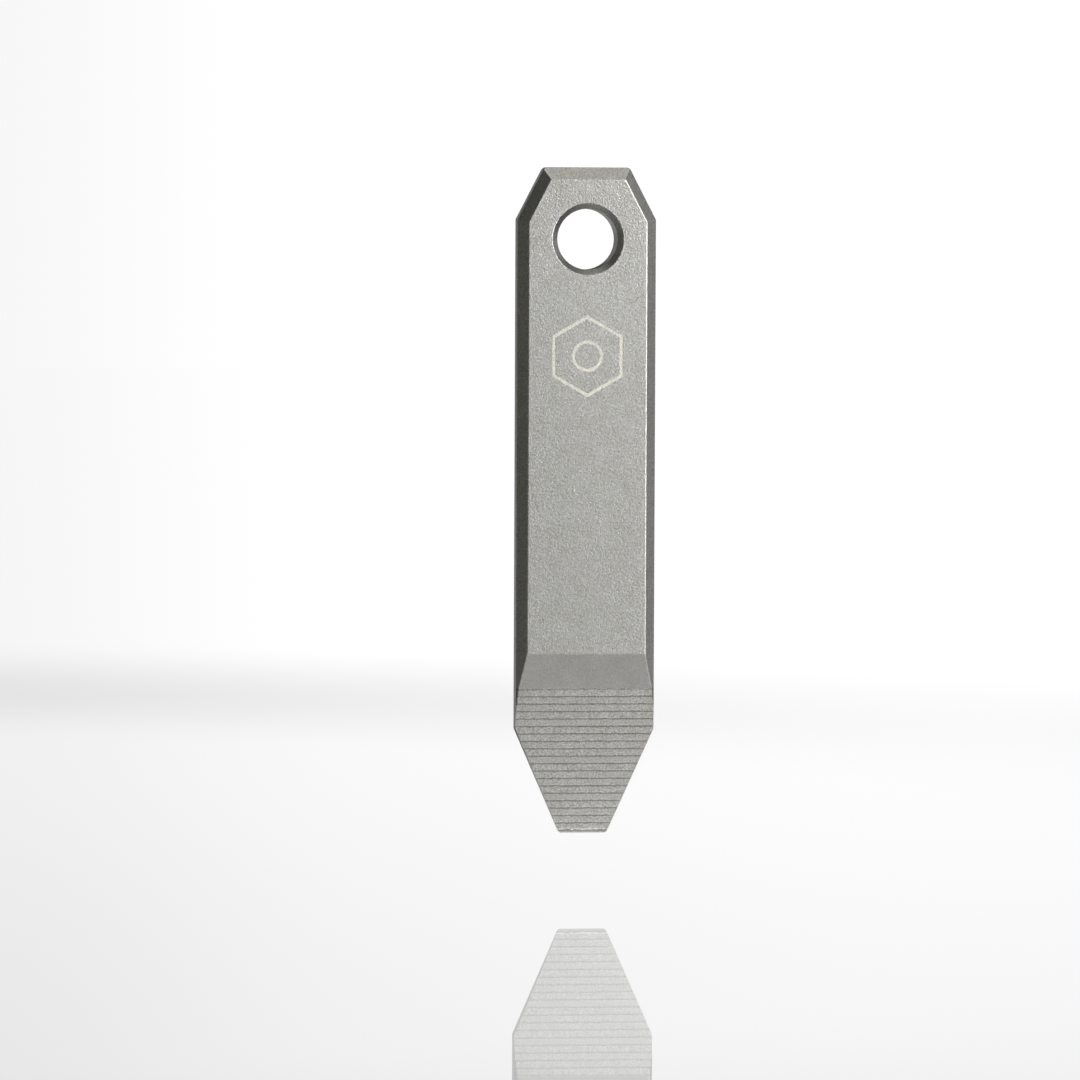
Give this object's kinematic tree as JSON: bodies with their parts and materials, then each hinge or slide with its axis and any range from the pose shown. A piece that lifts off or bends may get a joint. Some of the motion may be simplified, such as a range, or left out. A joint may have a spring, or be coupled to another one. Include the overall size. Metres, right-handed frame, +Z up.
{
  "type": "keychain bottle opener",
  "caption": "Flat bevelled keychain bar with a key-ring hole at the top and a stepped, tapered pry tip that lifts a crown cap.",
  "frame": {"origin": "centre of the key-ring hole, halfway through the plate's thickness", "axes": "+Z runs up the bar, from the pry tip towards the key-ring end. -Y is the front face, with the emblem and the steps. +X runs across the width, to the right when the front is faced."},
  "size_m": [0.0152, 0.0044, 0.0727],
  "materials": {
    "blasted_titanium": "matte"
  },
  "bodies": {
    "root": {"opener_bar": "blasted_titanium"}
  },
  "joints": []
}
